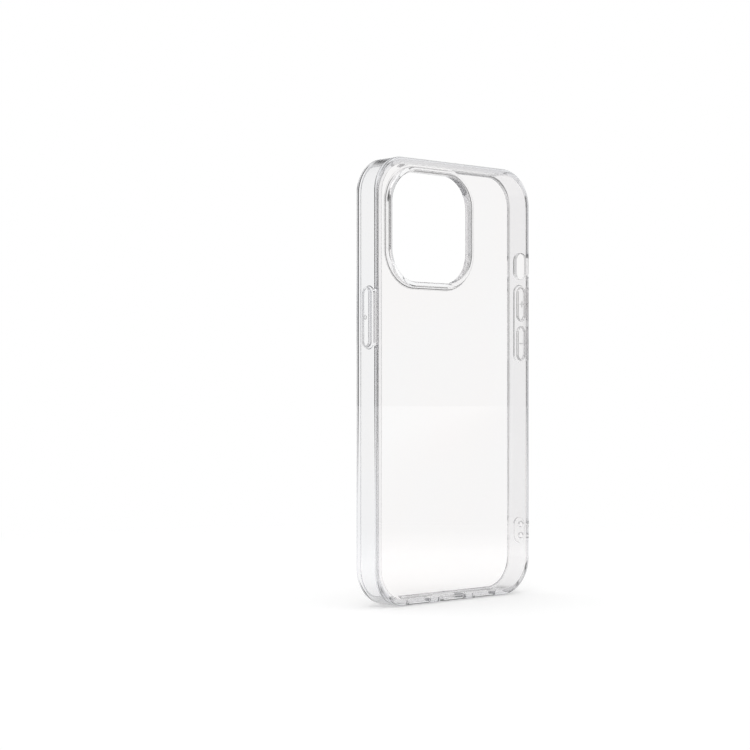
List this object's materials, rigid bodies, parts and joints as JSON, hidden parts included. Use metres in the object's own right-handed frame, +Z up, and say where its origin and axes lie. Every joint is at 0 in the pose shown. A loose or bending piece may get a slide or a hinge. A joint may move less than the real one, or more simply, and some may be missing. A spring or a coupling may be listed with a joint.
{
  "type": "phone case",
  "caption": "Clear protective phone case: stiff back plate in a soft frame, with a raised camera guard, sprung side keys, side openings and cord holes.",
  "frame": {"origin": "middle of the bottom of the object's box, with the case standing upright on its bottom edge", "axes": "+Z up along the case's length, +X to the right as seen from the back, -Y out of the back face and +Y out of the open screen side"},
  "size_m": [0.077, 0.0122, 0.1513],
  "materials": {
    "panel_clear_plastic": "gloss",
    "frame_clear_soft": "gloss",
    "guard_clear_soft": "gloss",
    "key_clear_soft": "satin"
  },
  "bodies": {
    "shell": {"back_plate": "panel_clear_plastic", "bumper": "frame_clear_soft", "camera_guard": "guard_clear_soft", "power_key_web": "key_clear_soft", "volume_up_key_web": "key_clear_soft", "volume_down_key_web": "key_clear_soft"},
    "power": {"power_key": "key_clear_soft"},
    "volume_up": {"volume_up_key": "key_clear_soft"},
    "volume_down": {"volume_down_key": "key_clear_soft"}
  },
  "joints": [
    {"name": "power_press", "type": "slide", "parent": "shell", "child": "power", "axis": [1, 0, 0], "range_m": [0, 0.0003], "stiffness_N_per_m": 2000, "deforming": ["power_key_web"]},
    {"name": "volume_up_press", "type": "slide", "parent": "shell", "child": "volume_up", "axis": [-1, 0, 0], "range_m": [0, 0.0003], "stiffness_N_per_m": 2000, "deforming": ["volume_up_key_web"]},
    {"name": "volume_down_press", "type": "slide", "parent": "shell", "child": "volume_down", "axis": [-1, 0, 0], "range_m": [0, 0.0003], "stiffness_N_per_m": 2000, "deforming": ["volume_down_key_web"]}
  ]
}
